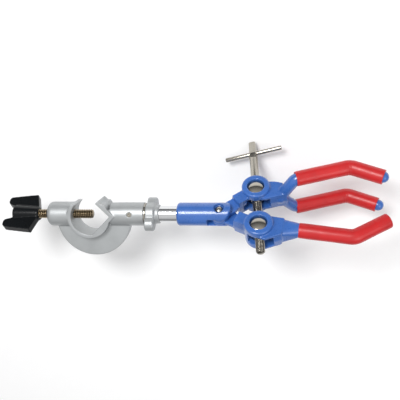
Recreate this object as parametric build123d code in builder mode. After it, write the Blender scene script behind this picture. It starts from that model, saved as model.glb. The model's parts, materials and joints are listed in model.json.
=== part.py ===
from build123d import *
from math import asin, atan2, cos, degrees, pi, radians, sin, sqrt
import os

# A three-prong laboratory clamp on a swivelling boss head, in millimetres.
# The origin is the axis of the stand rod where it sits in the vee. +Z runs along the stand rod,
# +X along the clamp's own rod towards the prongs, and the boss head's mouth opens towards +Y.

# ---- fits shared by all pieces ----
RUN = 0.05                  # radial clearance of a shaft in its hole
FACE_GAP = 0.05             # between flat faces that slide on each other

# ---- boss head: a die casting with a wide rim round the throat ----
RIM_HALF = 8.5              # half the rim's width, along Z
RIM_WALL = 2.6
VEE_APEX = 8.5              # X of the vee's corner
VEE_REACH = 13.0            # length of the vee's upper arm
THROAT_X, THROAT_Y, THROAT_R = -6.5, -0.5, 12.3
THROAT_LIP = 135.0          # the throat's upper left end, as an angle about its centre
WEB_X, WEB_Y, WEB_R = -4.5, -2.5, 26.4
WEB_HALF = 3.3              # half the web's thickness
SCREW_BOSS_R = 8.5
SCREW_BOSS_BACK, SCREW_BOSS_FRONT = -37.1, -17.0
SCREW_BOSS_ROUND = 3.5
BARREL_R = 8.0
BARREL_END = 32.0
BORE_FLOOR = 14.0

# ---- clamp screw and its wing knob ----
CLAMP_SCREW_R = 3.175       # 1/4 inch, 20 threads per inch
CLAMP_TIP = -5.1
CLAMP_TIP_BEVEL = 1.2
CLAMP_SCREW_LENGTH = 54.0
KNOB_FRONT = -44.2
KNOB_HUB_FRONT_R, KNOB_HUB_REAR_R = 4.8, 6.2
KNOB_HUB_LENGTH = 18.8
WING_SPAN = 14.6            # from the axis to the wing's front corner
WING_REAR_SPAN = 12.2
WING_HALF = 2.75
WING_TAIL = 6.0             # how far the wings reach behind the hub
KNOB_TURN = -50.0           # where the wings point, about X from +Y

# ---- chromed rod, its retaining screw, washer and lock nut ----
ROD_R = 5.5
ROD_END_GAP = 0.4
GROOVE_X = 22.3
GROOVE_HALF = 1.9
GROOVE_DEPTH = 1.0
KEEPER_R = 1.6
KEEPER_RECESS = 0.8
KEEPER_LEAN = 10.0          # from +Z towards +Y
WASHER_T = 1.0
WASHER_R = 7.6
NUT_T = 6.5                 # of the lobes, along X
NUT_HUB_R = 6.5
NUT_HUB_T = 2.9
LOBE_SPAN = 13.2            # from the axis to a lobe's end
LOBE_HALF = 4.7

# ---- blue yoke ----
YOKE_R = 7.9
YOKE_BACK = 54.6
YOKE_BACK_ROUND = 2.0
PIVOT_X = 83.4
SLOT_HALF = 3.0
SLOT_DEPTH = 8.1            # from the pivot back to the slot's floor
ROD_INTO_YOKE = 12.0
RIVET_R = 2.0
RIVET_HEAD_R = 2.65
RIVET_HEAD_RISE = 1.5
SEAT_R = 3.4                # spot face under each rivet head
SEAT_HEIGHT = 5.3           # from the middle plane

# ---- jaws ----
SWIVEL = -51.0              # the jaws' turn about X, from the boss head's plane
UPPER_ANGLE, LOWER_ANGLE = 36.0, -25.0
RING_DISTANCE = 29.5        # pivot to the middle of each ring boss
RING_R = 9.5
RING_HALF = 9.2
RING_ROUND = 1.2
KNUCKLE_R = 7.2
NECK_HALF = 4.3
BODY_START = 12.6           # where a jaw gets thicker than its tongue
BODY_HALF = 6.3
BODY_BULGE = 0.8            # the parting line stands out by this much in all
BODY_DRAFT = 5.0            # slope of the casting's sides, in degrees
NUT_BORE_R = 5.8
FAN_LOW, FAN_HIGH = 4.0, 54.0   # the screw's lean in its slot
SCREW_SLOT_HALF = 4.3       # of the slot for the screw, across the jaw
PRONG_R = 3.8
PRONG_BEND = 8.0
PRONG_SPREAD = 15.2         # half the distance between the upper prongs
ARM_R = 4.0
ARM_BEND = 5.0
ARM_CORNER = -3.3           # where a fork arm turns along its prong, from the root point
ARM_RUN = 10.6              # how far back on the middle line the arm starts
FORK_CROTCH = -9.6          # where the plate ends between the arms
UPPER_ROOT = (54.1, -16.3)
UPPER_PRONG_ANGLE, UPPER_TIP_ANGLE = -20.5, -58.8
UPPER_PRONG_LENGTH, UPPER_TIP_LENGTH = 33.7, 25.8
LOWER_ROOT = (53.6, -10.9)
LOWER_PRONG_ANGLE, LOWER_TIP_ANGLE = -16.9, -55.9
LOWER_PRONG_LENGTH, LOWER_TIP_LENGTH = 34.4, 24.6
LOWER_TAPER = -10.0         # where the lower casting starts to narrow
ROOT_R = 4.6                # the lower jaw's casting where its sleeve starts

# ---- red sleeves ----
SLEEVE_WALL = 1.2
SLEEVE_MOUTH = 0.7          # flare of the bore where the sleeve was pushed on
FRONT_SLEEVE_END = 22.6     # past the bend, along the tip
REAR_SLEEVE_END = 21.2
LOWER_SLEEVE_END = 25.4
UPPER_SLEEVE_START, LOWER_SLEEVE_START = -0.6, 0.0

# ---- barrel nuts, T-screw, tommy bar and retaining rings ----
TEE_R = 3.0                 # M6
TEE_BELOW = 18.0            # past the lower nut's axis
TEE_ABOVE = 45.6            # past the upper nut's axis
TEE_TIP_BEVEL = 0.8
HEAD_LENGTH = 12.2
HEAD_ACROSS, HEAD_WIDE = 5.0, 6.8
BAR_DROP = 9.3              # from the head's top to the bar
BAR_R = 1.6
BAR_LENGTH = 41.4
BAR_TURN = 12.6
NUT_DOME = 1.0
NUT_RECESS = 0.6
RING_GROOVE = 0.5
CLIP_T = 0.7
CLIP_R = 3.9
CLIP_SEAT = 5.15            # from the upper nut's axis to each spot face

# ---- worked out ----
screw_hole_r = CLAMP_SCREW_R + RUN
bore_r = ROD_R + RUN
barrel_nut_r = NUT_BORE_R - RUN
sleeve_r = PRONG_R + SLEEVE_WALL
half_opening = (UPPER_ANGLE - LOWER_ANGLE) / 2
nut_spacing = 2 * RING_DISTANCE * sin(radians(half_opening))
tongue_t = SLOT_HALF - 1.5 * FACE_GAP
normal = (0, -sin(radians(SWIVEL)), cos(radians(SWIVEL)))
jaw_plane = Plane(origin=(PIVOT_X, 0, 0), x_dir=(1, 0, 0), z_dir=normal)


def turned(plane, degrees_about_normal, flipped=False):
    """The plane with its x direction turned about its normal, and its normal turned over if flipped."""
    a = radians(degrees_about_normal)
    x_dir = plane.x_dir * cos(a) + plane.y_dir * sin(a)
    return Plane(origin=plane.origin, x_dir=x_dir, z_dir=plane.z_dir * (-1 if flipped else 1))


def across_x(x, turn=0.0):
    """The plane square to X at x, with its x direction along Y, turned about X."""
    a = radians(turn)
    return Plane(origin=(x, 0, 0), x_dir=(0, cos(a), sin(a)), z_dir=(1, 0, 0))


upper_frame = turned(jaw_plane, UPPER_ANGLE)
lower_frame = turned(jaw_plane, LOWER_ANGLE, flipped=True)
upper_nut_at = upper_frame.from_local_coords((RING_DISTANCE, 0, 0))
lower_nut_at = lower_frame.from_local_coords((RING_DISTANCE, 0, 0))
tee_axis = (Vector(upper_nut_at) - Vector(lower_nut_at)).normalized()
tee_plane = Plane(origin=upper_nut_at, x_dir=tee_axis.cross(Vector(*normal)), z_dir=tee_axis)

# ================= boss head =================
vee_turn = 3 * pi / 4
vee_tip = (VEE_APEX + VEE_REACH * cos(vee_turn), VEE_REACH * sin(vee_turn))
# the lower arm of the vee, y = x - VEE_APEX, runs down to the throat's circle
b = THROAT_X + THROAT_Y + VEE_APEX
c = THROAT_X ** 2 + (THROAT_Y + VEE_APEX) ** 2 - THROAT_R ** 2
vee_foot_x = (b - sqrt(b * b - 2 * c)) / 2
vee_foot = (vee_foot_x, vee_foot_x - VEE_APEX)
throat_foot = degrees(atan2(vee_foot[1] - THROAT_Y, vee_foot[0] - THROAT_X))

with BuildSketch() as throat_gap:
    with BuildLine():
        rim_arc = CenterArc((THROAT_X, THROAT_Y), THROAT_R, THROAT_LIP, 360 + throat_foot - THROAT_LIP)
        Polyline(rim_arc @ 1, (VEE_APEX, 0), vee_tip, (vee_tip[0], WEB_R), ((rim_arc @ 0).X, WEB_R),
                 rim_arc @ 0)
    make_face()

with BuildSketch() as rim_band:
    with Locations((THROAT_X, THROAT_Y)):
        Circle(THROAT_R + RIM_WALL)
    with BuildLine():
        wall = RIM_WALL * sqrt(2)
        Polyline((THROAT_X, THROAT_Y), vee_tip, (vee_tip[0] + wall / 2, vee_tip[1] + wall / 2),
                 (VEE_APEX + wall, 0), (vee_foot[0] + wall, vee_foot[1]), vee_foot, close=True)
    make_face()
    with Locations((THROAT_X, SCREW_BOSS_R)):
        Rectangle(4 * WEB_R, 2 * WEB_R, align=(Align.CENTER, Align.MIN), mode=Mode.SUBTRACT)
    with BuildLine():
        Polyline((THROAT_X, 0), vee_tip, (vee_tip[0] + wall / 2, vee_tip[1] + wall / 2),
                 (VEE_APEX + wall, 0), close=True)
    make_face()

with BuildSketch() as web_outline:
    with Locations((WEB_X, WEB_Y)):
        Circle(WEB_R)
    Rectangle(4 * WEB_R, 2 * WEB_R, align=(Align.CENTER, Align.MIN), mode=Mode.SUBTRACT)

with BuildPart() as boss_head:
    extrude(rim_band.sketch, amount=RIM_HALF, both=True)
    extrude(web_outline.sketch, amount=WEB_HALF, both=True)
    with BuildSketch(across_x(SCREW_BOSS_BACK)):
        Circle(SCREW_BOSS_R)
    extrude(amount=SCREW_BOSS_FRONT - SCREW_BOSS_BACK)
    fillet(boss_head.faces().sort_by(Axis.X)[0].edges(), SCREW_BOSS_ROUND)
    with BuildSketch(across_x(VEE_APEX)):
        Circle(BARREL_R)
    extrude(amount=BARREL_END - VEE_APEX)
    extrude(throat_gap.sketch, amount=2 * RIM_HALF, both=True, mode=Mode.SUBTRACT)
    with BuildSketch(across_x(SCREW_BOSS_BACK)):
        Circle(screw_hole_r)
    extrude(amount=SCREW_BOSS_FRONT - SCREW_BOSS_BACK + THROAT_R / 2, mode=Mode.SUBTRACT)
    with BuildSketch(across_x(BORE_FLOOR)):
        Circle(bore_r)
    extrude(amount=BARREL_END - BORE_FLOOR, mode=Mode.SUBTRACT)
    keeper_turn = radians(KEEPER_LEAN)
    keeper_plane = Plane(origin=(GROOVE_X, 0, 0), x_dir=(1, 0, 0),
                         z_dir=(0, sin(keeper_turn), cos(keeper_turn)))
    with BuildSketch(keeper_plane):
        Circle(KEEPER_R)
    extrude(amount=BARREL_R, mode=Mode.SUBTRACT)
boss_head.part.label = "boss_head"

with BuildPart() as retaining_screw:
    keeper_low = ROD_R - GROOVE_DEPTH + 2 * RUN
    keeper_top = BARREL_R - KEEPER_RECESS
    with BuildSketch(keeper_plane.offset(keeper_low)):
        Circle(KEEPER_R)
    extrude(amount=keeper_top - keeper_low)
    with BuildSketch(keeper_plane.offset(keeper_top)):
        RegularPolygon(KEEPER_R / 2, 6)
    extrude(amount=-KEEPER_R / 2, mode=Mode.SUBTRACT)
retaining_screw.part.label = "retaining_screw"

# ================= clamp screw and knob =================
with BuildPart() as clamp_screw:
    with BuildSketch(across_x(CLAMP_TIP - CLAMP_SCREW_LENGTH)):
        Circle(CLAMP_SCREW_R)
    extrude(amount=CLAMP_SCREW_LENGTH)
    chamfer(clamp_screw.faces().sort_by(Axis.X)[-1].edges(), CLAMP_TIP_BEVEL)
clamp_screw.part.label = "clamp_screw"

knob_rear = KNOB_FRONT - KNOB_HUB_LENGTH
wing_plane = Plane(origin=(0, 0, 0), x_dir=(1, 0, 0),
                   z_dir=(0, -sin(radians(KNOB_TURN)), cos(radians(KNOB_TURN))))
with BuildPart() as knob:
    with BuildSketch(wing_plane):
        with BuildLine():
            Polyline((knob_rear, 0), (knob_rear, KNOB_HUB_REAR_R), (KNOB_FRONT, KNOB_HUB_FRONT_R),
                     (KNOB_FRONT, 0), close=True)
        make_face()
    revolve(axis=Axis.X)
    chamfer(knob.edges().filter_by(GeomType.CIRCLE), 0.8)
    with BuildSketch(wing_plane) as wings:
        for side in (1, -1):
            with BuildLine():
                Polyline((KNOB_FRONT - 1, 0), (KNOB_FRONT - 1, side * KNOB_HUB_FRONT_R * 0.9),
                         (KNOB_FRONT - 4.2, side * WING_SPAN),
                         (knob_rear - WING_TAIL, side * WING_REAR_SPAN),
                         (knob_rear - WING_TAIL, side * KNOB_HUB_REAR_R * 1.1),
                         (knob_rear + 2, side * KNOB_HUB_REAR_R * 0.7), (knob_rear + 2, 0), close=True)
            make_face()
        corners = wings.vertices().filter_by(lambda v: abs(v.X - knob_rear + WING_TAIL) < 0.1)
        fillet(corners, WING_HALF * 0.9)
    extrude(amount=WING_HALF, both=True)
    with BuildSketch(across_x(CLAMP_TIP - CLAMP_SCREW_LENGTH)):
        Circle(CLAMP_SCREW_R + RUN)
    extrude(amount=CLAMP_SCREW_LENGTH, mode=Mode.SUBTRACT)
knob.part.label = "knob"

# ================= rod, washer, lock nut =================
with BuildPart() as rod:
    with BuildSketch(across_x(BORE_FLOOR + ROD_END_GAP)):
        Circle(ROD_R)
    extrude(amount=YOKE_BACK + ROD_INTO_YOKE - BORE_FLOOR - ROD_END_GAP)
    with BuildSketch(across_x(GROOVE_X - GROOVE_HALF)):
        Circle(ROD_R)
        Circle(ROD_R - GROOVE_DEPTH, mode=Mode.SUBTRACT)
    extrude(amount=2 * GROOVE_HALF, mode=Mode.SUBTRACT)
    chamfer(rod.faces().sort_by(Axis.X)[0].edges(), 0.6)
rod.part.label = "rod"

washer_back = BARREL_END + FACE_GAP
with BuildPart() as lock_washer:
    with BuildSketch(across_x(washer_back)):
        Circle(WASHER_R)
        Circle(bore_r, mode=Mode.SUBTRACT)
    extrude(amount=WASHER_T)
lock_washer.part.label = "lock_washer"

nut_back = washer_back + WASHER_T + FACE_GAP
with BuildPart() as lock_nut:
    with BuildSketch(across_x(nut_back, SWIVEL)) as lobes:
        SlotOverall(2 * LOBE_SPAN, 2 * LOBE_HALF)
        Circle(NUT_HUB_R + 1.2)
    extrude(amount=NUT_T)
    fillet(lock_nut.edges().filter_by(lambda e: e.center().X > nut_back + NUT_T - 0.1), 1.4)
    fillet(lock_nut.edges().filter_by(lambda e: e.center().X < nut_back + 0.1), 0.8)
    with BuildSketch(across_x(nut_back + NUT_T)):
        Circle(NUT_HUB_R)
    extrude(amount=NUT_HUB_T)
    chamfer(lock_nut.faces().sort_by(Axis.X)[-1].edges(), 0.6)
    with BuildSketch(across_x(nut_back)):
        Circle(bore_r)
    extrude(amount=NUT_T + NUT_HUB_T, mode=Mode.SUBTRACT)
lock_nut.part.label = "lock_nut"

# ================= yoke and pivot =================
with BuildPart() as yoke:
    with BuildSketch(across_x(YOKE_BACK)):
        Circle(YOKE_R)
    extrude(amount=PIVOT_X + YOKE_R - YOKE_BACK)
    fillet(yoke.faces().sort_by(Axis.X)[0].edges(), YOKE_BACK_ROUND)
    with BuildSketch(jaw_plane):
        with Locations((-YOKE_R, 0)):
            Rectangle(4 * YOKE_R, 4 * YOKE_R, align=(Align.MIN, Align.CENTER))
        Rectangle(2 * YOKE_R, 4 * YOKE_R, align=(Align.MAX, Align.CENTER), mode=Mode.SUBTRACT)
        Circle(YOKE_R, mode=Mode.SUBTRACT)
    extrude(amount=2 * YOKE_R, both=True, mode=Mode.SUBTRACT)
    with BuildSketch(jaw_plane):
        with Locations((-SLOT_DEPTH, 0)):
            Rectangle(4 * YOKE_R, 4 * YOKE_R, align=(Align.MIN, Align.CENTER))
    extrude(amount=SLOT_HALF, both=True, mode=Mode.SUBTRACT)
    with BuildSketch(jaw_plane):
        Circle(RIVET_R)
    extrude(amount=YOKE_R, both=True, mode=Mode.SUBTRACT)
    for side in (1, -1):
        with BuildSketch(jaw_plane.offset(side * SEAT_HEIGHT)):
            Circle(SEAT_R)
        extrude(amount=side * YOKE_R, mode=Mode.SUBTRACT)
    with BuildSketch(across_x(YOKE_BACK)):
        Circle(ROD_R)
    extrude(amount=ROD_INTO_YOKE, mode=Mode.SUBTRACT)
yoke.part.label = "yoke"

with BuildPart() as pivot_rivet:
    with BuildSketch(jaw_plane.offset(-SEAT_HEIGHT)):
        Circle(RIVET_R)
    extrude(amount=2 * SEAT_HEIGHT)
    dome_r = (RIVET_HEAD_R ** 2 + RIVET_HEAD_RISE ** 2) / (2 * RIVET_HEAD_RISE)
    head_half = Plane(origin=jaw_plane.origin, x_dir=jaw_plane.x_dir, z_dir=-jaw_plane.y_dir)
    for side in (1, -1):
        base, top = side * SEAT_HEIGHT, side * (SEAT_HEIGHT + RIVET_HEAD_RISE)
        middle = (dome_r * sin(asin(RIVET_HEAD_R / dome_r) / 2),
                  top - side * dome_r * (1 - cos(asin(RIVET_HEAD_R / dome_r) / 2)))
        with BuildSketch(head_half):
            with BuildLine():
                Polyline((0, top), (0, base), (RIVET_HEAD_R, base))
                ThreePointArc((RIVET_HEAD_R, base), middle, (0, top))
            make_face()
        revolve(axis=Axis(jaw_plane.origin, jaw_plane.z_dir))
pivot_rivet.part.label = "pivot_rivet"


# ================= jaws =================
def on_prong(root, angle, along, side=0.0):
    """A point of a jaw's frame, along a prong's straight from its root, side off the middle plane."""
    return (root[0] + along * cos(radians(angle)), root[1] + along * sin(radians(angle)), side)


def prong_points(root, angle, length, tip_angle, tip_length, side, start):
    """Corner points of a prong's centre line: start, bend and tip, in the jaw's frame."""
    bend = on_prong(root, angle, length, side)
    tip = on_prong(bend[:2], tip_angle, tip_length, side)
    return [on_prong(root, angle, start, side), bend, tip]


lower_prong = prong_points(LOWER_ROOT, LOWER_PRONG_ANGLE, LOWER_PRONG_LENGTH, LOWER_TIP_ANGLE,
                           LOWER_TIP_LENGTH - PRONG_R, 0.0, 0.0)


def fan(inward):
    """Outline of the slot that the screw swings in, on one side of the ring boss, in the jaw's frame."""
    low, high = (-90 - FAN_HIGH, -90 - FAN_LOW) if inward else (90 - FAN_HIGH, 90 - FAN_LOW)
    low, high = radians(low), radians(high)
    edge, reach = SCREW_SLOT_HALF, 2 * RING_R
    one = (RING_DISTANCE + edge * sin(low), -edge * cos(low))
    two = (RING_DISTANCE - edge * sin(high), edge * cos(high))
    return [(RING_DISTANCE, 0), one, (one[0] + reach * cos(low), one[1] + reach * sin(low)),
            (two[0] + reach * cos(high), two[1] + reach * sin(high)), two]


def jaw_casting(frame, plate):
    """The part that both jaws share: tongue, neck, body and ring boss.
    The frame has its origin at the pivot, x towards the ring boss and y outwards."""
    with BuildPart() as casting:
        with BuildSketch(frame.offset(FACE_GAP / 2)):
            Circle(KNUCKLE_R)
            Rectangle(RING_DISTANCE, 2 * NECK_HALF, align=(Align.MIN, Align.CENTER))
        extrude(amount=tongue_t)
        for side in (1, -1):
            with BuildSketch(frame):
                with Locations((BODY_START, 0)):
                    Rectangle(RING_DISTANCE - BODY_START, 2 * NECK_HALF + BODY_BULGE,
                              align=(Align.MIN, Align.CENTER))
                with BuildLine():
                    Polyline(*plate, close=True)
                make_face()
            extrude(amount=side * BODY_HALF, taper=BODY_DRAFT)
        with BuildSketch(frame.offset(-RING_HALF)):
            with Locations((RING_DISTANCE, 0)):
                Circle(RING_R)
        extrude(amount=2 * RING_HALF)
        rims = casting.edges().filter_by(GeomType.CIRCLE).filter_by(
            lambda e: abs(e.radius - RING_R) < 0.01 and e.length > 5 * RING_R)
        fillet(rims, RING_ROUND)
    return casting.part


def open_ring(frame):
    """Cut the rivet's hole, the nut's bore and the two screw slots from the part being built."""
    with BuildSketch(frame) as rivet_hole:
        Circle(RIVET_R + RUN)
    extrude(rivet_hole.sketch, amount=SLOT_HALF, mode=Mode.SUBTRACT)
    with BuildSketch(frame.offset(-RING_HALF)) as bore:
        with Locations((RING_DISTANCE, 0)):
            Circle(NUT_BORE_R)
    extrude(bore.sketch, amount=2 * RING_HALF, mode=Mode.SUBTRACT)
    for inward in (True, False):
        with BuildSketch(frame) as slot:
            with BuildLine():
                Polyline(*fan(inward), close=True)
            make_face()
        extrude(slot.sketch, amount=SCREW_SLOT_HALF, both=True, mode=Mode.SUBTRACT)


def swept_rod(frame, points, bend, radius):
    """Add a round bar along a bent centre line given in a jaw's frame."""
    corners = [frame.from_local_coords(p) for p in points]
    with BuildLine() as centre_line:
        FilletPolyline(*corners, radius=bend)
    start = Plane(origin=centre_line.line @ 0, z_dir=centre_line.line % 0)
    with BuildSketch(start) as section:
        Circle(radius)
    return centre_line.line, section.sketch


def side_by(root, angle, along, off):
    """A point of a jaw's plane beside a prong's line."""
    a = radians(angle)
    return (root[0] + along * cos(a) - off * sin(a), root[1] + along * sin(a) + off * cos(a))


upper_plate = [(18.0, 0), (20.0, -NECK_HALF), (25.0, -8.2), (29.0, -11.3), (38.0, -14.5),
               side_by(UPPER_ROOT, UPPER_PRONG_ANGLE, FORK_CROTCH, -4.6),
               side_by(UPPER_ROOT, UPPER_PRONG_ANGLE, FORK_CROTCH, 6.6), (44.5, -3.2), (38.2, 1.5),
               (RING_DISTANCE, 0)]
lower_plate = [(18.0, 0), (20.0, -NECK_HALF), (24.5, -7.8), (RING_DISTANCE, -RING_R), (34.0, -10.1),
               side_by(LOWER_ROOT, LOWER_PRONG_ANGLE, LOWER_TAPER, -4.6),
               side_by(LOWER_ROOT, LOWER_PRONG_ANGLE, LOWER_TAPER, 8.6), (38.1, 8.8),
               (RING_DISTANCE, RING_R), (RING_DISTANCE, 0)]

with BuildPart() as upper_jaw:
    add(jaw_casting(upper_frame, upper_plate))
    for side in (1, -1):
        arm = [on_prong(UPPER_ROOT, UPPER_PRONG_ANGLE, ARM_CORNER - ARM_RUN),
               on_prong(UPPER_ROOT, UPPER_PRONG_ANGLE, ARM_CORNER, side * PRONG_SPREAD),
               on_prong(UPPER_ROOT, UPPER_PRONG_ANGLE, UPPER_SLEEVE_START, side * PRONG_SPREAD)]
        line, section = swept_rod(upper_frame, arm, ARM_BEND, ARM_R)
        sweep(section, path=line)
        prong = prong_points(UPPER_ROOT, UPPER_PRONG_ANGLE, UPPER_PRONG_LENGTH, UPPER_TIP_ANGLE,
                             UPPER_TIP_LENGTH - PRONG_R, side * PRONG_SPREAD, UPPER_SLEEVE_START - 0.3)
        line, section = swept_rod(upper_frame, prong, PRONG_BEND, PRONG_R)
        sweep(section, path=line)
        with Locations(line @ 1):
            Sphere(PRONG_R)
    with Locations(upper_frame.from_local_coords(on_prong(UPPER_ROOT, UPPER_PRONG_ANGLE,
                                                          ARM_CORNER - ARM_RUN))):
        Sphere(ARM_R + 0.8)
    open_ring(upper_frame)
upper_jaw.part.label = "upper_jaw"

with BuildPart() as lower_jaw:
    add(jaw_casting(lower_frame, lower_plate))
    lower_dir = lower_frame.x_dir * cos(radians(LOWER_PRONG_ANGLE)) \
        + lower_frame.y_dir * sin(radians(LOWER_PRONG_ANGLE))
    broad_end = side_by(LOWER_ROOT, LOWER_PRONG_ANGLE, LOWER_TAPER - 1, 2.0)
    broad_at = lower_frame.from_local_coords((*broad_end, 0))
    round_at = lower_frame.from_local_coords((*LOWER_ROOT, 0))
    with BuildSketch(Plane(origin=broad_at, x_dir=lower_frame.z_dir, z_dir=lower_dir)):
        RectangleRounded(2 * BODY_HALF - 0.8, 12.6, 2.5)
    with BuildSketch(Plane(origin=round_at, x_dir=lower_frame.z_dir, z_dir=lower_dir)):
        RectangleRounded(2 * ROOT_R, 2 * ROOT_R, ROOT_R - 0.1)
    loft()
    line, section = swept_rod(lower_frame, [on_prong(LOWER_ROOT, LOWER_PRONG_ANGLE, -2.0)]
                              + lower_prong[1:], PRONG_BEND, PRONG_R)
    sweep(section, path=line)
    with Locations(line @ 1):
        Sphere(PRONG_R)
    open_ring(lower_frame)
lower_jaw.part.label = "lower_jaw"



# ================= sleeves =================
def sleeve(frame, root, angle, length, tip_angle, end, side, start, label):
    """A tube pushed over a prong, from start on the straight to end past the bend."""
    points = prong_points(root, angle, length, tip_angle, end, side, start)
    corners = [frame.from_local_coords(p) for p in points]
    with BuildPart() as tube:
        with BuildLine() as centre_line:
            FilletPolyline(*corners, radius=PRONG_BEND)
        mouth = Plane(origin=centre_line.line @ 0, z_dir=centre_line.line % 0)
        with BuildSketch(mouth):
            Circle(sleeve_r)
            Circle(PRONG_R + RUN, mode=Mode.SUBTRACT)
        sweep(path=centre_line.line)
        with BuildSketch(mouth):
            Circle(PRONG_R + SLEEVE_MOUTH)
        with BuildSketch(mouth.offset(2 * SLEEVE_MOUTH)):
            Circle(PRONG_R + RUN)
        loft(mode=Mode.SUBTRACT)
    tube.part.label = label
    return tube.part


front_sleeve = sleeve(upper_frame, UPPER_ROOT, UPPER_PRONG_ANGLE, UPPER_PRONG_LENGTH, UPPER_TIP_ANGLE,
                      FRONT_SLEEVE_END, PRONG_SPREAD, UPPER_SLEEVE_START + 0.1, "upper_sleeve_front")
rear_sleeve = sleeve(upper_frame, UPPER_ROOT, UPPER_PRONG_ANGLE, UPPER_PRONG_LENGTH, UPPER_TIP_ANGLE,
                     REAR_SLEEVE_END, -PRONG_SPREAD, UPPER_SLEEVE_START + 0.1, "upper_sleeve_rear")
lower_sleeve = sleeve(lower_frame, LOWER_ROOT, LOWER_PRONG_ANGLE, LOWER_PRONG_LENGTH, LOWER_TIP_ANGLE,
                      LOWER_SLEEVE_END, 0.0, LOWER_SLEEVE_START + 0.1, "lower_sleeve")


# ================= barrel nuts =================
def barrel_nut(centre):
    """A cross-drilled nut with slightly domed ends, in a ring boss."""
    half = RING_HALF - NUT_RECESS
    face_r = barrel_nut_r - 0.7
    dome = (face_r ** 2 + NUT_DOME ** 2) / (2 * NUT_DOME)
    lean = asin(face_r / dome) / 2
    side_plane = Plane(origin=centre, x_dir=jaw_plane.x_dir, z_dir=-jaw_plane.y_dir)
    with BuildPart() as nut:
        with BuildSketch(side_plane):
            with BuildLine():
                Line((0, half), (0, -half))
                ThreePointArc((0, -half), (dome * sin(lean), -half + dome * (1 - cos(lean))),
                              (face_r, -half + NUT_DOME))
                Line((face_r, -half + NUT_DOME), (barrel_nut_r, -half + NUT_DOME + 0.7))
                Line((barrel_nut_r, -half + NUT_DOME + 0.7), (barrel_nut_r, half - NUT_DOME - 0.7))
                Line((barrel_nut_r, half - NUT_DOME - 0.7), (face_r, half - NUT_DOME))
                ThreePointArc((face_r, half - NUT_DOME), (dome * sin(lean), half - dome * (1 - cos(lean))),
                              (0, half))
            make_face()
        revolve(axis=Axis(centre, jaw_plane.z_dir))
        with BuildSketch(Plane(origin=Vector(centre) - tee_axis * RING_R, z_dir=tee_axis)):
            Circle(TEE_R + RUN)
        extrude(amount=2 * RING_R, mode=Mode.SUBTRACT)
    return nut.part


lower_nut = barrel_nut(lower_nut_at)
lower_nut.label = "lower_barrel_nut"

with BuildPart() as upper_nut:
    add(barrel_nut(upper_nut_at))
    for side in (1, -1):
        with BuildSketch(tee_plane.offset(side * CLIP_SEAT)):
            Circle(CLIP_R + 0.4)
        extrude(amount=side * RING_R, mode=Mode.SUBTRACT)
upper_nut.part.label = "upper_barrel_nut"

# ================= T-screw, rings and tommy bar =================
bar_lean = radians(BAR_TURN)
bar_dir = (jaw_plane.x_dir * cos(radians((UPPER_ANGLE + LOWER_ANGLE) / 2))
           + jaw_plane.y_dir * sin(radians((UPPER_ANGLE + LOWER_ANGLE) / 2))) * cos(bar_lean) \
    + jaw_plane.z_dir * sin(bar_lean)
clip_near = CLIP_SEAT + FACE_GAP
with BuildPart() as tee_screw:
    with BuildSketch(tee_plane.offset(-nut_spacing - TEE_BELOW)):
        Circle(TEE_R)
    extrude(amount=nut_spacing + TEE_BELOW + TEE_ABOVE - HEAD_LENGTH + 1)
    chamfer(tee_screw.edges().filter_by(GeomType.CIRCLE).group_by(Axis(tee_plane.origin, tee_axis))[0],
            TEE_TIP_BEVEL)
    head_plane = Plane(origin=tee_plane.origin + tee_axis * (TEE_ABOVE - HEAD_LENGTH), x_dir=bar_dir,
                       z_dir=tee_axis)
    with BuildSketch(head_plane):
        RectangleRounded(HEAD_ACROSS, HEAD_WIDE, 1.5)
    extrude(amount=HEAD_LENGTH)
    chamfer(tee_screw.edges().group_by(Axis(tee_plane.origin, tee_axis))[-1], 0.7)
    for side in (1, -1):
        with BuildSketch(tee_plane.offset(side * clip_near)):
            Circle(TEE_R)
            Circle(TEE_R - RING_GROOVE, mode=Mode.SUBTRACT)
        extrude(amount=side * CLIP_T, mode=Mode.SUBTRACT)
    bar_at = tee_plane.origin + tee_axis * (TEE_ABOVE - BAR_DROP)
    with BuildSketch(Plane(origin=bar_at - bar_dir * HEAD_WIDE, z_dir=bar_dir)):
        Circle(BAR_R)
    extrude(amount=2 * HEAD_WIDE, mode=Mode.SUBTRACT)
tee_screw.part.label = "tee_screw"

with BuildPart() as tommy_bar:
    with BuildSketch(Plane(origin=bar_at - bar_dir * BAR_LENGTH / 2, z_dir=bar_dir)):
        Circle(BAR_R)
    extrude(amount=BAR_LENGTH)
    fillet(tommy_bar.edges().filter_by(GeomType.CIRCLE), 0.5)
tommy_bar.part.label = "tommy_bar"


def clip(side, label):
    """A retaining ring in the T-screw's groove, beside the upper nut."""
    with BuildPart() as ring:
        with BuildSketch(tee_plane.offset(side * clip_near)):
            Circle(CLIP_R)
            Circle(TEE_R - RING_GROOVE, mode=Mode.SUBTRACT)
        extrude(amount=side * CLIP_T)
    ring.part.label = label
    return ring.part


ring_above = clip(1, "retaining_ring_upper")
ring_below = clip(-1, "retaining_ring_lower")

pieces = [boss_head.part, retaining_screw.part, clamp_screw.part, knob.part, rod.part, lock_washer.part,
          lock_nut.part, yoke.part, pivot_rivet.part, upper_jaw.part, lower_jaw.part, front_sleeve,
          rear_sleeve, lower_sleeve, lower_nut, upper_nut.part, tee_screw.part, tommy_bar.part,
          ring_above, ring_below]
os.makedirs("parts", exist_ok=True)
for piece in pieces:
    export_step(piece, "parts/" + piece.label + ".step")
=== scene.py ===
"""The visible surfaces of a three-prong swivel clamp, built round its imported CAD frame."""

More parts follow.
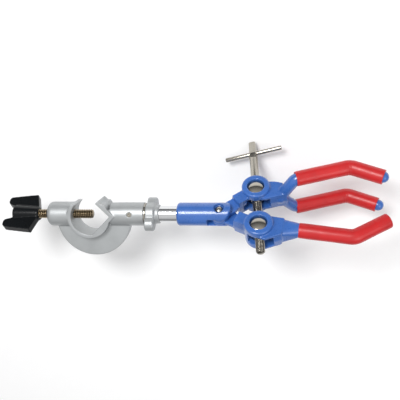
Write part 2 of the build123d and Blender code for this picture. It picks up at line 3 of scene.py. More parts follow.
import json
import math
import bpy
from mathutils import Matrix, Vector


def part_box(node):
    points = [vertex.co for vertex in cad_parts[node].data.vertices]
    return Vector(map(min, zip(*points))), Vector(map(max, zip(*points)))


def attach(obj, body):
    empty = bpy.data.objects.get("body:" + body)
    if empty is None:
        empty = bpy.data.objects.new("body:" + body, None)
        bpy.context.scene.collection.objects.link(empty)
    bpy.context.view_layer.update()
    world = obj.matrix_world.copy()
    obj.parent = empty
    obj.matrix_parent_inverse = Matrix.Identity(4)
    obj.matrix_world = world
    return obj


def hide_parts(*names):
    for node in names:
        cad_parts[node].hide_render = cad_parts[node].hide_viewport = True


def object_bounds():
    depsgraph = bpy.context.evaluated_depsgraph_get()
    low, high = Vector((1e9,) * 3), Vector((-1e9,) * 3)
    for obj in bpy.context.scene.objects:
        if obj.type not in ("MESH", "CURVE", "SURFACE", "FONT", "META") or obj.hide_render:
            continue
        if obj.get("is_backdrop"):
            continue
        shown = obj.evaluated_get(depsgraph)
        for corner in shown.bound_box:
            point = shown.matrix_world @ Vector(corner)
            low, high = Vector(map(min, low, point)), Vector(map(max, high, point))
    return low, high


bl_info = {
    "name": "Swivel Clamp",
    "version": (1, 0, 0),
    "blender": (4, 5, 0),
    "location": "3D View > Sidebar > Clamp",
    "description": "Builds a laboratory swivel clamp round its fixed CAD frame",
    "category": "Add Mesh",
}

import bmesh
import bpy
import numpy as np
from mathutils import Matrix, Vector

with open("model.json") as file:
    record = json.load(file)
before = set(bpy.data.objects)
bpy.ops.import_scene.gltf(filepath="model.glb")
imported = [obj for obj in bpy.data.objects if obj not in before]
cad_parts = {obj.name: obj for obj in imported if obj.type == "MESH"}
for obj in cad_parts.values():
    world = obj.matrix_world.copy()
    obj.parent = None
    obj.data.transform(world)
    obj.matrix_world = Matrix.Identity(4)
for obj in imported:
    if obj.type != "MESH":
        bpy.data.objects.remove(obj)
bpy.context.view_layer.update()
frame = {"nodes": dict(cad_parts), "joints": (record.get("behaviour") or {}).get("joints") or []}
MM = 0.001
JOINTS = {joint["name"]: joint for joint in frame["joints"]}
PIVOT = np.array(JOINTS["jaw_swing"]["pos_m"]) / MM
NORMAL = np.array(JOINTS["jaw_swing"]["axis"], float)
UPPER_NUT = np.array(JOINTS["upper_nut_turn"]["pos_m"]) / MM
LOWER_NUT = np.array(JOINTS["lower_nut_turn"]["pos_m"]) / MM
TEE_AXIS = np.array(JOINTS["tee_turn"]["axis"], float)
X_AXIS = np.array((1.0, 0.0, 0.0))
ORIGIN = np.zeros(3)

# sizes of the new surfaces, in millimetres and degrees
THREAD_STEP = 0.09          # between rows of points along a thread
CLAMP_POINT = 1.5           # length of the clamp screw's round point
ROD_BEVEL = 0.6             # at the end inside the barrel
SLIDE_GAP = 0.05            # between the washer and the rod
RIVET_SEAT = 5.3            # from the jaws' middle plane to the underside of a head
RIVET_SHANK_R, RIVET_HEAD_R = 2.0, 2.65
RIVET_RISE = 1.5
RIVET_EDGE = 0.35           # height of a head's rim, below its dome
NUT_HALF, NUT_R = 7.6, 5.75
NUT_RISE = 1.0
NUT_EDGE = 0.7              # bevel round a barrel nut's domes
TEE_R = 3.0
TEE_BELOW, TEE_ABOVE = 18.0, 45.6   # past the lower and the upper nut's axis
TEE_THREAD_END = (-9.0, -7.5)       # where the thread fades out, from the upper nut
HEAD_START, HEAD_FULL = 14.5, 10.5  # from the top to where the head starts and is fully flat
HEAD_HALF_THIN, HEAD_HALF_WIDE = 2.5, 3.4
TEE_TOP_ROUND, TEE_TIP_ROUND = 0.8, 1.5
BAR_DROP, BAR_R, BAR_HALF = 9.3, 1.6, 20.7
BAR_LEAN = math.radians(12.6)
CLIP_NEAR, CLIP_FAR = 5.2, 5.9      # the rings' faces, from the upper nut's axis
CLIP_BORE_R, CLIP_R = 2.9, 3.9
PRONG_BEND = 8.0
SLEEVE_R, SLEEVE_BORE_R = 5.0, 3.82
CREASE_REACH = 4.0          # how far the creases spread from the middle of a bend
CREASE_WAVE = 2.6           # from one crease to the next
SLEEVE_DRIFT = 0.05         # how far a sleeve's outside wanders from round
UPPER_SPREAD = 15.2         # half the distance between the upper prongs
UPPER_PRONG = {"root": (54.1, -16.3), "angle": -20.5, "length": 33.7, "tip_angle": -58.8}
LOWER_PRONG = {"root": (53.6, -10.9), "angle": -16.9, "length": 34.4, "tip_angle": -55.9}

# the stage, in metres
FLOOR_REACH = 2.0
LIGHT_TARGET = (0.07, 0.0, 0.0)
CAMERA_TARGET = Vector((0.0699, 0.0093, -0.0023))
CAMERA_DISTANCE = 0.406
CAMERA_RIGHT = Vector((0.9877, -0.0378, -0.1518))
CAMERA_BACK = Vector((0.1564, 0.2389, 0.9584))


def extent(node, axis=0):
    """Lowest and highest coordinate of a CAD node along a row axis, in millimetres."""
    low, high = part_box(node)
    return low[axis] / MM, high[axis] / MM


# ---------------------------------------------------------------- sizes and colours


class ClampSizes(bpy.types.PropertyGroup):
    """Sizes of the details that the CAD frame leaves plain, in metres."""

    cast_cell: bpy.props.FloatProperty(
        name="Casting cell",
        description="Mesh size of the cast pieces, which sets how round their edges are",
        default=0.00034,
        min=0.00015,
        unit="LENGTH",
    )
    cast_smoothing: bpy.props.IntProperty(
        name="Casting smoothing",
        description="How many times the cast surfaces are smoothed",
        default=7,
        min=0,
    )
    brass_pitch: bpy.props.FloatProperty(
        name="Clamp screw pitch",
        description="Distance from one thread to the next on the brass screw",
        default=0.00127,
        unit="LENGTH",
    )
    brass_depth: bpy.props.FloatProperty(
        name="Clamp screw thread depth",
        description="Depth of the brass screw's thread",
        default=0.00078,
        unit="LENGTH",
    )
    tee_pitch: bpy.props.FloatProperty(
        name="T-screw pitch",
        description="Distance from one thread to the next on the T-screw",
        default=0.001,
        unit="LENGTH",
    )
    tee_depth: bpy.props.FloatProperty(
        name="T-screw thread depth",
        description="Depth of the T-screw's thread",
        default=0.0006,
        unit="LENGTH",
    )
    sleeve_crease: bpy.props.FloatProperty(
        name="Sleeve crease",
        description="Height of the small creases on the inside of a sleeve's bend",
        default=0.00012,
        unit="LENGTH",
    )


def colour(name, description, default):
    """A colour property with its name, description and default."""
    return bpy.props.FloatVectorProperty(
        name=name,
        description=description,
        subtype="COLOR",
        size=3,
        min=0.0,
        max=1.0,
        default=default,
    )


class ClampColours(bpy.types.PropertyGroup):
    """Base colours of the clamp's finishes."""

    casting: colour("Casting", "Silver-grey die casting", (0.40, 0.415, 0.42))
    blue: colour("Blue coat", "Blue powder coat", (0.035, 0.125, 0.42))
    red: colour("Sleeve", "Red soft PVC", (0.52, 0.012, 0.014))
    brass: colour("Brass", "Turned brass", (0.42, 0.33, 0.215))
    nickel: colour("Nickel", "Nickel plate", (0.42, 0.395, 0.345))
    chrome: colour("Chrome", "Bright chrome plate", (0.72, 0.73, 0.74))
    black: colour("Knob", "Black moulded plastic", (0.0025, 0.0035, 0.0045))


def sizes():
    """The size settings of the scene."""
    return bpy.context.scene.clamp_sizes


def colours():
    """The colour settings of the scene."""
    return bpy.context.scene.clamp_colours


# ---------------------------------------------------------------- surfaces


def basis(axis, towards=None):
    """Two unit vectors square to an axis, the first as near as it can be to towards."""
    axis = np.asarray(axis, float)
    guide = np.array((0.0, 0.0, 1.0)) if towards is None else np.asarray(towards, float)
    side = guide - axis * guide.dot(axis)
    side /= np.linalg.norm(side)
    return side, np.cross(axis, side)


def ring_angles(count):
    """Evenly spaced angles round a full turn."""
    return np.linspace(0.0, 2.0 * np.pi, count, endpoint=False)


def surface(name, points, closed_along=False, groove=None):
    """A mesh from a grid of points in millimetres, one row for each step along the shape.
    Each row is a closed loop; the last row joins the first when closed_along is set.
    The groove grid, 0 at a thread's crest and 1 at its root, is kept as a point attribute, which the
    thread finishes read to paint shade at the roots."""
    rows, columns = points.shape[:2]
    i = np.arange(rows if closed_along else rows - 1)[:, None]
    j = np.arange(columns)[None, :]
    right = (j + 1) % columns
    below = (i + 1) % rows
    corners = (i * columns + j, i * columns + right, below * columns + right, below * columns + j)
    faces = np.stack(np.broadcast_arrays(*corners), axis=-1).reshape(-1, 4)
    mesh = bpy.data.meshes.new(name)
    mesh.from_pydata((points.reshape(-1, 3) * MM).tolist(), [], faces.tolist())
    if groove is not None:
        # the thread finishes read this attribute to paint shade at the roots
        layer = mesh.attributes.new("groove", "FLOAT", "POINT")
        layer.data.foreach_set("value", np.asarray(groove, np.float32).ravel())
    piece = bpy.data.objects.new(name, mesh)
    bpy.context.scene.collection.objects.link(piece)
    close_and_turn_out(mesh)
    mesh.shade_smooth()
    return piece


def close_and_turn_out(mesh):
    """Merge the points that meet at poles, and turn every face outwards."""
    work = bmesh.new()
    work.from_mesh(mesh)
    bmesh.ops.remove_doubles(work, verts=work.verts, dist=1e-7)
    bmesh.ops.dissolve_degenerate(work, edges=work.edges, dist=1e-8)
    bmesh.ops.recalc_face_normals(work, faces=work.faces)
    work.to_mesh(mesh)
    work.free()


def eased(profile, radius, steps=4, closed=False):
    """A profile with each corner C between points A and B replaced by a curve.
    The curve is (1-t)^2 A' + 2t(1-t) C + t^2 B', with A' and B' at most radius from C."""
    profile = np.asarray(profile, float)
    corners = profile if closed else profile[1:-1]
    before = np.roll(profile, 1, axis=0) if closed else profile[:-2]
    after = np.roll(profile, -1, axis=0) if closed else profile[2:]
    t = np.linspace(0.0, 1.0, steps + 1)[None, :, None]

    def toward(other):
        gap = other - corners
        length = np.linalg.norm(gap, axis=1, keepdims=True)
        return corners + gap / length * np.minimum(radius, length * 0.45)

    start, end = toward(before)[:, None], toward(after)[:, None]
    curve = (1 - t) ** 2 * start + 2 * t * (1 - t) * corners[:, None] + t**2 * end
    curve = curve.reshape(-1, 2)
    if closed:
        return curve
    return np.vstack((profile[:1], curve, profile[-1:]))


def turned(name, profile, centre, axis, columns=96, closed=False):
    """A profile of (distance along the axis, radius) carried round the axis.
    Point = centre + distance * axis + radius * (cos a * side + sin a * across)."""
    profile = np.asarray(profile, float)
    side, across = basis(axis)
    angle = ring_angles(columns)[None, :, None]
    spoke = np.cos(angle) * side + np.sin(angle) * across
    spine = centre + profile[:, 0, None, None] * np.asarray(axis)
    return surface(name, spine + profile[:, 1, None, None] * spoke, closed_along=closed)


def tooth(turns):
    """Height of a thread between 0 at its root and 1 at its crest.
    It is a triangle wave of the turns, clipped so that root and crest are narrow flats."""
    wave = np.abs(2.0 * np.mod(turns, 1.0) - 1.0)
    return np.clip((wave - 0.10) / 0.75, 0.0, 1.0)


def smooth_step(value, low, high):
    """0 below low, 1 above high, and 3t^2 - 2t^3 between."""
    t = np.clip((value - low) / (high - low), 0.0, 1.0)
    return t * t * (3.0 - 2.0 * t)


def bent_path(corners, bend, spacing):
    """Two straights joined by a tangent arc: its centre points, directions and distances, the
    distance to the middle of the arc, and the direction that the arc turns to."""
    start, corner, end = (np.asarray(c, float) for c in corners)
    into, out = corner - start, end - corner
    length_in, length_out = np.linalg.norm(into), np.linalg.norm(out)
    into, out = into / length_in, out / length_out
    turn = math.acos(np.clip(into.dot(out), -1.0, 1.0))
    tangent = bend * math.tan(turn / 2)
    square = out - into * into.dot(out)
    square /= np.linalg.norm(square)
    first = length_in - tangent
    arc = bend * turn
    total = first + arc + length_out - tangent
    s = np.linspace(0.0, total, int(total / spacing) + 1)
    angle = np.clip((s - first) / bend, 0.0, turn)[:, None]
    ahead = np.clip(s - first - arc, 0.0, None)[:, None]
    straight = np.minimum(s, first)[:, None]
    direction = np.cos(angle) * into + np.sin(angle) * square
    centre = start + straight * into + bend * (np.sin(angle) * into + (1 - np.cos(angle)) * square)
    return centre + ahead * out, direction, s, first + arc / 2, square


# ---------------------------------------------------------------- finishes


def shader(name):
    """A new material, its node tree and its main shader."""
    material = bpy.data.materials.new(name)
    material.use_nodes = True
    tree = material.node_tree
    return material, tree, tree.nodes["Principled BSDF"]


def object_noise(tree, scale, detail=2.0, rough=0.5, stretch=(1.0, 1.0, 1.0)):
    """A noise pattern fixed to the piece; scale is in grains per metre."""
    place = tree.nodes.new("ShaderNodeTexCoord")
    mapping = tree.nodes.new("ShaderNodeMapping")
    mapping.inputs["Scale"].default_value = stretch
    noise = tree.nodes.new("ShaderNodeTexNoise")
    noise.inputs["Scale"].default_value = scale
    noise.inputs["Detail"].default_value = detail
    noise.inputs["Roughness"].default_value = rough
    tree.links.new(place.outputs["Object"], mapping.inputs["Vector"])
    tree.links.new(mapping.outputs["Vector"], noise.inputs["Vector"])
    return noise.outputs["Fac"]


def spread(tree, value, low, high):
    """A noise value mapped to run from low to high."""
    node = tree.nodes.new("ShaderNodeMapRange")
    node.inputs["From Min"].default_value = 0.3
    node.inputs["From Max"].default_value = 0.7
    node.inputs["To Min"].default_value = low
    node.inputs["To Max"].default_value = high
    tree.links.new(value, node.inputs["Value"])
    return node.outputs["Result"]


def tint(tree, value, colour_a, colour_b):
    """A colour that runs between two colours with a noise value."""
    node = tree.nodes.new("ShaderNodeValToRGB")
    node.color_ramp.elements[0].position = 0.32
    node.color_ramp.elements[0].color = (*colour_a, 1.0)
    node.color_ramp.elements[1].position = 0.68
    node.color_ramp.elements[1].color = (*colour_b, 1.0)
    tree.links.new(value, node.inputs["Fac"])
    return node.outputs["Color"]


def bumps(tree, value, height, strength=1.0):
    """A bump from a noise value, with its height in metres."""
    node = tree.nodes.new("ShaderNodeBump")
    node.inputs["Strength"].default_value = strength
    node.inputs["Distance"].default_value = height
    tree.links.new(value, node.inputs["Height"])
    return node.outputs["Normal"]


def shade(rgb, factor):
    """A colour made lighter or darker by a factor."""
    return tuple(min(1.0, channel * factor) for channel in rgb)


def finish(name, rgb, metallic, roughness, grain, height, variation=0.08, coat=0.0, stretch=(1, 1, 1)):
    """A procedural finish: colour and roughness vary in slow patches, over a fine grain."""
    material, tree, main = shader(name)
    patches = object_noise(tree, 90.0, 3.0)
    fine = object_noise(tree, grain, 3.0, 0.6, stretch)
    blend = tint(tree, patches, shade(rgb, 1 - variation), shade(rgb, 1 + variation))
    tree.links.new(blend, main.inputs["Base Color"])
    main.inputs["Metallic"].default_value = metallic
    tree.links.new(spread(tree, fine, roughness * 0.85, roughness * 1.15), main.inputs["Roughness"])
    tree.links.new(bumps(tree, fine, height), main.inputs["Normal"])
    main.inputs["Coat Weight"].default_value = coat
    main.inputs["Coat Roughness"].default_value = 0.08
    return material


def paint_root_shade(material, share):
    """Paint shade into a finish at the roots of a thread: darken it by a share of its brightness where
    the groove attribute is high.
    """
    tree = material.node_tree
    main = tree.nodes["Principled BSDF"]
    surface_colour = main.inputs["Base Color"].links[0].from_socket
    groove = tree.nodes.new("ShaderNodeAttribute")
    groove.attribute_name = "groove"
    fall = tree.nodes.new("ShaderNodeMapRange")
    fall.inputs["To Min"].default_value = 1.0
    fall.inputs["To Max"].default_value = 1.0 - share
    # painted shade: the finish's colour is dimmed towards the roots of a thread
    painted_root_shade = tree.nodes.new("ShaderNodeHueSaturation")
    tree.links.new(groove.outputs["Fac"], fall.inputs["Value"])
    tree.links.new(fall.outputs["Result"], painted_root_shade.inputs["Value"])
    tree.links.new(surface_colour, painted_root_shade.inputs["Color"])
    tree.links.new(painted_root_shade.outputs["Color"], main.inputs["Base Color"])
    return material


def cast_silver():
    """Satin silver-grey die casting with a fine sandy grain."""
    return finish("cast_silver", colours().casting, 0.55, 0.42, 1700.0, 0.00005, 0.06)


def blue_coat():
    """Gloss blue powder coat with its shallow orange peel."""
    return finish("blue_coat", colours().blue, 0.0, 0.30, 900.0, 0.00006, 0.10, coat=0.5)


def red_sleeve():
    """Soft red PVC with a slight lengthwise grain."""
    material = finish("red_sleeve", colours().red, 0.0, 0.36, 1100.0, 0.00004, 0.09, stretch=(0.3, 1, 1))
    main = material.node_tree.nodes["Principled BSDF"]
    main.inputs["Subsurface Weight"].default_value = 0.08
    main.inputs["Subsurface Scale"].default_value = 0.001
    return material


def turned_brass():
    """Bright turned brass, a little darker in patches, with painted shade much darker at a thread's
    roots.
    """
    material = finish("turned_brass", colours().brass, 1.0, 0.22, 2200.0, 0.00001, 0.12)
    # painted shade in the thread's roots
    return paint_root_shade(material, 0.85)


def nickel_plate():
    """Nickel plate with fine machining marks, with painted shade darker at a thread's roots."""
    material = finish("nickel_plate", colours().nickel, 1.0, 0.13, 2600.0, 0.000008, 0.08)
    # painted shade in the thread's roots
    return paint_root_shade(material, 0.75)


def bright_chrome():
    """Chrome plate, almost a mirror."""
    return finish("bright_chrome", colours().chrome, 1.0, 0.09, 1200.0, 0.000003, 0.03)


def black_plastic():
    """Black moulded plastic with a light satin."""
    material = finish("black_plastic", colours().black, 0.0, 0.24, 1500.0, 0.00002, 0.15)
    material.node_tree.nodes["Principled BSDF"].inputs["Specular IOR Level"].default_value = 0.22
    return material


def dress(piece, material, body=None, replaced=None):
    """Give a piece its material and, when it is new, parent it to its body and hide the CAD node it
    replaces.
    """
    piece.data.materials.clear()
    piece.data.materials.append(material)
    if body:
        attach(piece, body)
    if replaced:
        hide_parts(replaced)
    return piece


def soften(node, material, cell=1.0, rounds=None):
    """Round a CAD node's edges as a casting's are: an even mesh of small cells, then smoothed."""
    piece = frame["nodes"][node]
    dress(piece, material)
    remesh = piece.modifiers.new("Even cells", "REMESH")
    remesh.mode = "VOXEL"
    remesh.voxel_size = sizes().cast_cell * cell
    remesh.use_smooth_shade = True
    smooth = piece.modifiers.new("Soft edges", "SMOOTH")
    smooth.factor = 0.5
    smooth.iterations = sizes().cast_smoothing if rounds is None else rounds
    return piece


# ---------------------------------------------------------------- pieces


class CLAMP_OT_castings(bpy.types.Operator):
    """Soften the edges of the cast and moulded pieces and give them their finishes"""

    bl_idname = "clamp.castings"
    bl_label = "Castings"

    def execute(self, context):
        silver = cast_silver()
        soften("boss_head", silver)
        soften("lock_nut", silver, cell=0.8)
        blue = blue_coat()
        soften("yoke", blue, rounds=5)
        soften("upper_jaw", blue)
        soften("lower_jaw", blue)
        soften("knob", black_plastic(), cell=0.9, rounds=10)
        return {"FINISHED"}


def threaded(name, low, high, radius, pitch, depth, axis, centre, point):
    """A screw with its round point at high. The radius is the full radius less the depth times
    (1 - tooth(distance / pitch - angle / turn)), and falls to nothing over the ends."""
    distance = np.linspace(low, high, int((high - low) / THREAD_STEP) + 1)
    angle = ring_angles(56)
    turns = distance[:, None] / pitch - angle[None, :] / (2 * np.pi)
    cap = np.sqrt(np.clip(1 - (1 - np.clip((high - distance) / point, 0, 1)) ** 2, 0, 1))
    outline = radius * (0.42 + 0.58 * cap)
    outline = np.where(distance >= high - 1e-9, 0.0, outline)
    outline = np.where(distance <= low + 1e-9, 0.0, outline)
    cut = depth * (1 - tooth(turns))
    r = np.minimum(outline[:, None], radius - cut)
    side, across = basis(axis)
    spoke = np.cos(angle)[:, None] * side + np.sin(angle)[:, None] * across
    points = centre + distance[:, None, None] * np.asarray(axis) + r[..., None] * spoke
    return surface(name, points, groove=cut / depth)


class CLAMP_OT_clamp_screw(bpy.types.Operator):
    """Build the brass clamp screw with its helical thread"""

    bl_idname = "clamp.clamp_screw"
    bl_label = "Clamp screw"

    def execute(self, context):
        low, high = extent("clamp_screw")
        radius = extent("clamp_screw", 1)[1]
        screw = threaded(
            "clamp_screw_thread",
            low,
            high,
            radius,
            sizes().brass_pitch / MM,
            sizes().brass_depth / MM,
            X_AXIS,
            ORIGIN,
            CLAMP_POINT,
        )
        dress(screw, turned_brass(), "clamp_screw", "clamp_screw")
        return {"FINISHED"}


class CLAMP_OT_rod(bpy.types.Operator):
    """Build the chromed rod and the washer behind the lock nut, and plate the retaining screw"""

    bl_idname = "clamp.rod"
    bl_label = "Rod and washer"

    def execute(self, context):
        low, high = extent("rod")
        radius = extent("rod", 1)[1]
        bevel = [(low, radius - ROD_BEVEL), (low + ROD_BEVEL, radius)]
        outline = [(low, 0.0), *bevel, (high, radius), (high, 0.0)]
        rod = turned("rod_plated", eased(outline, 0.2), ORIGIN, X_AXIS)
        dress(rod, bright_chrome(), "rod", "rod")
        near, far = extent("lock_washer")
        outer = extent("lock_washer", 1)[1]
        bore = radius + SLIDE_GAP
        ring = [(near, bore), (far, bore), (far, outer), (near, outer)]
        washer = turned("lock_washer_turned", eased(ring, 0.2, closed=True), ORIGIN, X_AXIS, closed=True)
        dress(washer, nickel_plate(), "lock_washer", "lock_washer")
        dress(frame["nodes"]["retaining_screw"], nickel_plate())
        return {"FINISHED"}


def dome(base, rise, radius, steps=10):
    """Profile of a shallow round cap, from its rim at base to its pole.
    The height is rise * (1 - (r / radius)^2) above the rim."""
    r = np.linspace(radius, 0.0, steps)
    return np.stack((base + rise * (1 - (r / radius) ** 2), r), axis=1)


class CLAMP_OT_pivots(bpy.types.Operator):
    """Build the domed rivet and the two barrel nuts"""

    bl_idname = "clamp.pivots"
    bl_label = "Rivet and barrel nuts"

    def execute(self, context):
        nickel = nickel_plate()
        seat, shank, head = RIVET_SEAT, RIVET_SHANK_R, RIVET_HEAD_R
        upper_half = [(0.0, shank), (seat, shank), (seat, head), (seat + 0.3, head + 0.05)]
        cap = dome(seat + RIVET_EDGE, RIVET_RISE - RIVET_EDGE, head)
        upper_half = np.vstack((upper_half, cap))
        lower_half = upper_half[::-1] * (-1.0, 1.0)
        rivet = turned("pivot_rivet_domed", np.vstack((lower_half, upper_half)), PIVOT, NORMAL, 64)
        dress(rivet, nickel, "rod", "pivot_rivet")
        for level, centre in (("lower", LOWER_NUT), ("upper", UPPER_NUT)):
            cap = dome(NUT_HALF, NUT_RISE, NUT_R - NUT_EDGE)
            face = np.vstack(([(NUT_HALF - NUT_EDGE, NUT_R)], cap))
            whole = np.vstack((face[::-1] * (-1.0, 1.0), face))
            name = f"{level}_barrel_nut"
            nut = turned(name + "_domed", eased(whole, 0.25, 3), centre, NORMAL)
            dress(nut, nickel, name, name)
        return {"FINISHED"}


class CLAMP_OT_tee_screw(bpy.types.Operator):
    """Build the T-screw with its thread and flattened head, its bar and its two rings"""

    bl_idname = "clamp.tee_screw"
    bl_label = "T-screw"

    def execute(self, context):
        nickel = nickel_plate()
        spacing = np.linalg.norm(UPPER_NUT - LOWER_NUT)
        low, high = -spacing - TEE_BELOW, TEE_ABOVE
        bisector = np.cross(TEE_AXIS, NORMAL)
        bisector = bisector if bisector[0] > 0 else -bisector
        bar = bisector * math.cos(BAR_LEAN) + NORMAL * math.sin(BAR_LEAN)
        side, across = basis(TEE_AXIS, bar)
        distance = np.linspace(low, high, int((high - low) / THREAD_STEP) + 1)
        angle = ring_angles(64)
        turns = distance[:, None] / (sizes().tee_pitch / MM) - angle[None, :] / (2 * np.pi)
        fade = 1 - smooth_step(distance, *TEE_THREAD_END)
        cut = sizes().tee_depth / MM * (1 - tooth(turns)) * fade[:, None]
        flat = smooth_step(distance, high - HEAD_START, high - HEAD_FULL)[:, None]
        power = 2 + 4 * flat
        half_thin = TEE_R + (HEAD_HALF_THIN - TEE_R) * flat
        half_wide = TEE_R + (HEAD_HALF_WIDE - TEE_R) * flat
        cos, sin = np.abs(np.cos(angle)), np.abs(np.sin(angle))
        r = ((cos / half_thin) ** power + (sin / half_wide) ** power) ** (-1 / power) - cut
        top = np.clip((high - distance) / TEE_TOP_ROUND, 0, 1)
        tip = np.clip((distance - low) / TEE_TIP_ROUND, 0, 1)
        ends = np.sqrt(1 - (1 - top) ** 2) * 0.25 + 0.75
        ends = ends * (np.sqrt(1 - (1 - tip) ** 2) * 0.55 + 0.45)
        ends = np.where((distance >= high - 1e-9) | (distance <= low + 1e-9), 0.0, ends)
        r = r * ends[:, None]
        spoke = np.cos(angle)[:, None] * side + np.sin(angle)[:, None] * across
        points = UPPER_NUT + distance[:, None, None] * TEE_AXIS + r[..., None] * spoke
        screw = surface("tee_screw_thread", points, groove=cut * MM / sizes().tee_depth)
        dress(screw, nickel, "tee_screw", "tee_screw")
        centre = UPPER_NUT + TEE_AXIS * (high - BAR_DROP)
        outline = [(-BAR_HALF, 0.0), (-BAR_HALF, BAR_R), (BAR_HALF, BAR_R), (BAR_HALF, 0.0)]
        handle = turned("tommy_bar_turned", eased(outline, 0.5), centre, bar, 48)
        dress(handle, nickel, "tee_screw", "tommy_bar")
        for level, way in (("upper", 1), ("lower", -1)):
            near, far = way * CLIP_NEAR, way * CLIP_FAR
            corners = [(near, CLIP_BORE_R), (far, CLIP_BORE_R), (far, CLIP_R), (near, CLIP_R)]
            ring = eased(corners, 0.15, closed=True)
            name = f"retaining_ring_{level}"
            clip = turned(name + "_turned", ring, UPPER_NUT, TEE_AXIS, 64, closed=True)
            dress(clip, nickel, "tee_screw", name)
        return {"FINISHED"}


def jaw_point(towards, outward, root, angle, along, side):
    """A point of a jaw: along a prong's line from its root, side off the middle plane."""
    x = root[0] + along * math.cos(math.radians(angle))
    y = root[1] + along * math.sin(math.radians(angle))
    return PIVOT + x * towards + y * outward + side * NORMAL


def jaw_frame(nut, way):
    """Unit vectors of a jaw: from the pivot to its nut, and outwards. Way is 1 above, -1 below."""
    towards = (nut - PIVOT) / np.linalg.norm(nut - PIVOT)
    return towards, np.cross(way * NORMAL, towards)


def sleeve(name, towards, outward, root, angle, length, tip_angle, start, end, side):
    """A tube pushed over a prong. Its wall is a profile of (distance, radius), carried along the
    prong's centre line: flared mouth, outside with creases in the bend, and cut end. The profile
    stops just inside each end, so the bore between them, which lies on the prong, is left open."""
    bend_root = (
        root[0] + length * math.cos(math.radians(angle)),
        root[1] + length * math.sin(math.radians(angle)),
    )
    corners = (
        jaw_point(towards, outward, root, angle, start, side),
        jaw_point(towards, outward, root, angle, length, side),
        jaw_point(towards, outward, bend_root, tip_angle, end, side),
    )
    centre, direction, s, middle, inside = bent_path(corners, PRONG_BEND, 0.25)
    total = s[-1]
    outer, bore = SLEEVE_R, SLEEVE_BORE_R
    mouth = [(0.9, bore), (0.0, bore + 0.6), (0.0, outer - 0.1)]
    finish_end = [(total, outer), (total, bore), (total - 0.9, bore)]
    start_curve = eased(mouth + [(1.5, outer)], 0.3, 4)
    end_curve = eased([(total - 1.5, outer)] + finish_end, 0.35, 4)
    body = np.stack((s, np.full_like(s, outer)), axis=1)[(s > 1.6) & (s < total - 1.6)]
    wall = np.vstack((start_curve, body, end_curve))
    angle_round = ring_angles(56)
    place = np.stack([np.interp(wall[:, 0], s, centre[:, k]) for k in range(3)], axis=1)
    way = np.stack([np.interp(wall[:, 0], s, direction[:, k]) for k in range(3)], axis=1)
    way /= np.linalg.norm(way, axis=1, keepdims=True)
    spoke_b = np.broadcast_to(NORMAL, way.shape)
    spoke_a = np.cross(spoke_b, way)
    facing = np.cos(angle_round)[None, :] * spoke_a.dot(inside)[:, None]
    offset = wall[:, 0] - middle
    ripple = np.exp(-((offset / CREASE_REACH) ** 2)) * np.cos(offset * 2 * np.pi / CREASE_WAVE)
    outside = smooth_step(wall[:, 1], outer - 0.3, outer - 0.05)
    crease = sizes().sleeve_crease / MM * np.clip(facing, 0, 1) ** 2 * (ripple * outside)[:, None]
    wander = np.sin(wall[:, 0] * 0.21 + side)[:, None] * np.sin(angle_round * 2 + side)[None, :]
    drift = SLEEVE_DRIFT * wander
    r = wall[:, 1, None] + crease + drift * outside[:, None]
    spoke = np.cos(angle_round)[None, :, None] * spoke_a[:, None]
    spoke = spoke + np.sin(angle_round)[None, :, None] * spoke_b[:, None]
    return surface(name, place[:, None] + r[..., None] * spoke)


class CLAMP_OT_sleeves(bpy.types.Operator):
    """Build the three red sleeves on the prongs"""

    bl_idname = "clamp.sleeves"
    bl_label = "Sleeves"

    def execute(self, context):
        red = red_sleeve()
        upper = jaw_frame(UPPER_NUT, 1)
        lower = jaw_frame(LOWER_NUT, -1)
        front = sleeve("sleeve_front", *upper, **UPPER_PRONG, start=-3.0, end=22.6, side=UPPER_SPREAD)
        dress(front, red, "upper_jaw", "upper_sleeve_front")
        rear = sleeve("sleeve_rear", *upper, **UPPER_PRONG, start=-3.0, end=21.2, side=-UPPER_SPREAD)
        dress(rear, red, "upper_jaw", "upper_sleeve_rear")
        single = sleeve("sleeve_lower", *lower, **LOWER_PRONG, start=-0.7, end=25.4, side=0.0)
        dress(single, red, "lower_jaw", "lower_sleeve")
        return {"FINISHED"}


def neck_web(name, towards, outward, layer):
    """The web on a neck's inner side, in the same layer as its tongue. Its outline, in
    (distance from the pivot, height off the jaw's line), is carried across the layer: each row is
    middle + share * (outline - middle), with shares that round its two faces."""
    corners = [(4.0, -1.0), (4.0, -5.4), (8.2, -6.0), (13.0, -4.6), (20.0, -3.8), (20.0, -1.0)]
    outline = eased(corners, 1.2, closed=True)
    middle = outline.mean(axis=0)
    share = np.array([0.0, 0.92, 1.0, 1.0, 0.92, 0.0])[:, None, None]
    depth = layer * np.array([0.15, 0.15, 0.5, 2.4, 2.8, 2.8])[:, None, None]
    flat = middle + share * (outline - middle)
    points = PIVOT + flat[..., :1] * towards + flat[..., 1:] * outward + depth * NORMAL
    return surface(name, points)


class CLAMP_OT_neck_webs(bpy.types.Operator):
    """Build the web on the inner side of each jaw's neck"""

    bl_idname = "clamp.neck_webs"
    bl_label = "Neck webs"

    def execute(self, context):
        blue = blue_coat()
        for level, nut, way in (("upper", UPPER_NUT, 1), ("lower", LOWER_NUT, -1)):
            web = neck_web(f"neck_web_{level}", *jaw_frame(nut, way), way)
            dress(web, blue, f"{level}_jaw")
        return {"FINISHED"}


# ---------------------------------------------------------------- stage


def area_light(name, place, target, size, power):
    """A square soft white light at a place, aimed at a target."""
    data = bpy.data.lights.new(name, "AREA")
    data.size = size
    data.energy = power
    light = bpy.data.objects.new(name, data)
    light.location = place
    light.rotation_euler = (Vector(target) - Vector(place)).to_track_quat("-Z", "Y").to_euler()
    bpy.context.scene.collection.objects.link(light)
    return light


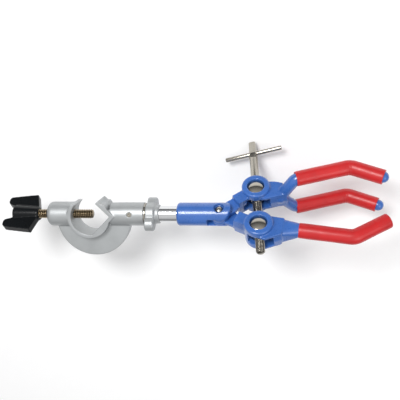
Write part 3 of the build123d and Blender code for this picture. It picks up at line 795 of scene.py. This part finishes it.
class CLAMP_OT_stage(bpy.types.Operator):
    """Set up the pale floor, the soft lights and the camera"""

    bl_idname = "clamp.stage"
    bl_label = "Stage"

    def execute(self, context):
        scene = context.scene
        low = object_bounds()[0]
        reach = FLOOR_REACH
        corners = [(-reach, -reach), (reach, -reach), (reach, reach), (-reach, reach)]
        mesh = bpy.data.meshes.new("floor")
        mesh.from_pydata([(x, y, low[2]) for x, y in corners], [], [(0, 1, 2, 3)])
        floor = bpy.data.objects.new("floor", mesh)
        scene.collection.objects.link(floor)
        mesh.materials.append(finish("pale_floor", (0.93, 0.93, 0.93), 0.0, 0.8, 300.0, 0.00001, 0.003))
        floor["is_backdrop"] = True

        world = bpy.data.worlds.new("studio")
        world.use_nodes = True
        scene.world = world
        tree = world.node_tree
        place = tree.nodes.new("ShaderNodeTexCoord")
        parts = tree.nodes.new("ShaderNodeSeparateXYZ")
        ramp = tree.nodes.new("ShaderNodeValToRGB")
        ramp.color_ramp.elements[0].position = 0.0
        ramp.color_ramp.elements[0].color = (0.10, 0.10, 0.11, 1.0)
        ramp.color_ramp.elements[1].position = 0.85
        ramp.color_ramp.elements[1].color = (1.0, 1.0, 1.0, 1.0)
        tree.links.new(place.outputs["Generated"], parts.inputs["Vector"])
        tree.links.new(parts.outputs["Z"], ramp.inputs["Fac"])
        tree.links.new(ramp.outputs["Color"], tree.nodes["Background"].inputs["Color"])
        tree.nodes["Background"].inputs["Strength"].default_value = 0.78
        area_light("key", (-0.06, 0.30, 0.55), LIGHT_TARGET, size=0.22, power=2.8)
        area_light("fill", (0.45, -0.15, 0.40), LIGHT_TARGET, size=0.30, power=0.7)

        back = CAMERA_BACK.normalized()
        right = (CAMERA_RIGHT - back * CAMERA_RIGHT.dot(back)).normalized()
        up = back.cross(right)
        data = bpy.data.cameras.new("camera")
        data.lens = 54.0
        data.sensor_width = 36.0
        data.clip_start = 0.01
        camera = bpy.data.objects.new("camera", data)
        turn = Matrix((right, up, back)).transposed().to_4x4()
        camera.matrix_world = Matrix.Translation(CAMERA_TARGET + CAMERA_DISTANCE * back) @ turn
        scene.collection.objects.link(camera)
        scene.camera = camera
        scene.view_settings.view_transform = "Standard"
        return {"FINISHED"}


class CLAMP_PT_panel(bpy.types.Panel):
    """Lists the clamp's settings and its pieces in the sidebar"""

    bl_idname = "CLAMP_PT_panel"
    bl_label = "Swivel Clamp"
    bl_space_type = "VIEW_3D"
    bl_region_type = "UI"
    bl_category = "Clamp"

    def draw(self, context):
        layout = self.layout
        for group in (context.scene.clamp_sizes, context.scene.clamp_colours):
            box = layout.box()
            for name in group.__annotations__:
                box.prop(group, name)
        for operator in OPERATORS:
            layout.operator(operator.bl_idname)


OPERATORS = (
    CLAMP_OT_castings,
    CLAMP_OT_clamp_screw,
    CLAMP_OT_rod,
    CLAMP_OT_pivots,
    CLAMP_OT_tee_screw,
    CLAMP_OT_sleeves,
    CLAMP_OT_neck_webs,
    CLAMP_OT_stage,
)
CLASSES = (ClampSizes, ClampColours, *OPERATORS, CLAMP_PT_panel)


def register():
    """Add the classes and their settings to Blender."""
    for cls in CLASSES:
        bpy.utils.register_class(cls)
    bpy.types.Scene.clamp_sizes = bpy.props.PointerProperty(type=ClampSizes)
    bpy.types.Scene.clamp_colours = bpy.props.PointerProperty(type=ClampColours)


def unregister():
    """Take the classes and their settings away again."""
    del bpy.types.Scene.clamp_colours
    del bpy.types.Scene.clamp_sizes
    for cls in reversed(CLASSES):
        bpy.utils.unregister_class(cls)


def main():
    register()
    bpy.ops.clamp.castings()
    bpy.ops.clamp.clamp_screw()
    bpy.ops.clamp.rod()
    bpy.ops.clamp.pivots()
    bpy.ops.clamp.tee_screw()
    bpy.ops.clamp.sleeves()
    bpy.ops.clamp.neck_webs()
    bpy.ops.clamp.stage()
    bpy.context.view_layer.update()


if __name__ == "__main__":
    main()
